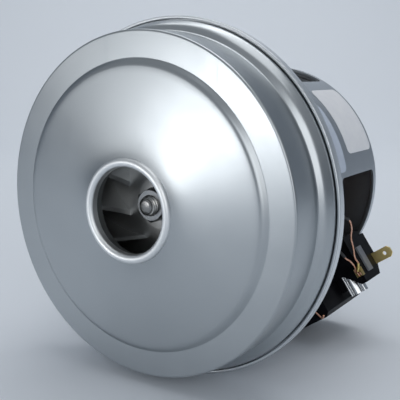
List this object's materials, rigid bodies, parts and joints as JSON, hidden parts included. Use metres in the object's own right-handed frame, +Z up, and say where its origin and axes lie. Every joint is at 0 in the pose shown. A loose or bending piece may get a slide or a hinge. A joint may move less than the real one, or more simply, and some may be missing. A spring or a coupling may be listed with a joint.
{
  "type": "universal motor",
  "caption": "Vacuum cleaner motor: steel fan cover over a curved-blade impeller, steel motor can with side windows, and sprung carbon brushes in black holders.",
  "frame": {"origin": "on the shaft axis, at the rear face of the motor can's flange", "axes": "+Y along the shaft from the inlet towards the rear bearing, +Z up, +X to the right seen from the inlet"},
  "size_m": [0.13, 0.117, 0.13],
  "materials": {
    "cover_steel": "satin",
    "can_steel": "satin",
    "core_steel": "satin",
    "shaft_steel": "satin",
    "fan_aluminium": "satin",
    "diffuser_plastic": "matte",
    "bakelite": "satin",
    "brass": "satin",
    "copper": "satin",
    "clip_steel": "bright",
    "carbon": "matte"
  },
  "bodies": {
    "frame": {"fan_cover": "cover_steel", "motor_can": "can_steel", "diffuser": "diffuser_plastic", "front_bracket": "can_steel", "ball_bearings": "shaft_steel", "stator_core": "core_steel", "field_coil_a": "copper", "field_coil_b": "copper", "brush_holder_a": "bakelite", "brush_tube_a": "brass", "brush_spring_a": "clip_steel", "brush_cap_a": "brass", "contact_clip_a": "clip_steel", "tab_terminal_a": "brass", "terminal_plate_a": "clip_steel", "wire_terminal_a": "brass", "leads_a": "copper", "brush_holder_b": "bakelite", "brush_tube_b": "brass", "brush_spring_b": "clip_steel", "brush_cap_b": "brass", "contact_clip_b": "clip_steel", "tab_terminal_b": "brass", "terminal_plate_b": "clip_steel", "wire_terminal_b": "brass", "leads_b": "copper"},
    "rotor": {"shaft": "shaft_steel", "lock_nut": "shaft_steel", "clamp_washer": "shaft_steel", "impeller_back_plate": "fan_aluminium", "impeller_shroud": "fan_aluminium", "impeller_blades": "fan_aluminium", "armature_core": "core_steel", "armature_winding_front": "copper", "armature_winding_rear": "copper", "commutator_core": "bakelite", "commutator_bars": "copper"},
    "brush_a": {"carbon_brush_a": "carbon"},
    "brush_b": {"carbon_brush_b": "carbon"}
  },
  "joints": [
    {"name": "rotor_spin", "type": "hinge", "parent": "frame", "child": "rotor", "pos_m": [0, 0, 0], "axis": [0, 1, 0], "continuous": true},
    {"name": "brush_a_slide", "type": "slide", "parent": "frame", "child": "brush_a", "axis": [0.5621, 0, -0.8271], "range_m": [0, 0.006], "stiffness_N_per_m": 200, "springref_m": -0.012, "deforming": ["brush_spring_a"]},
    {"name": "brush_b_slide", "type": "slide", "parent": "frame", "child": "brush_b", "axis": [-0.5621, 0, 0.8271], "range_m": [0, 0.006], "stiffness_N_per_m": 200, "springref_m": -0.012, "deforming": ["brush_spring_b"]}
  ]
}
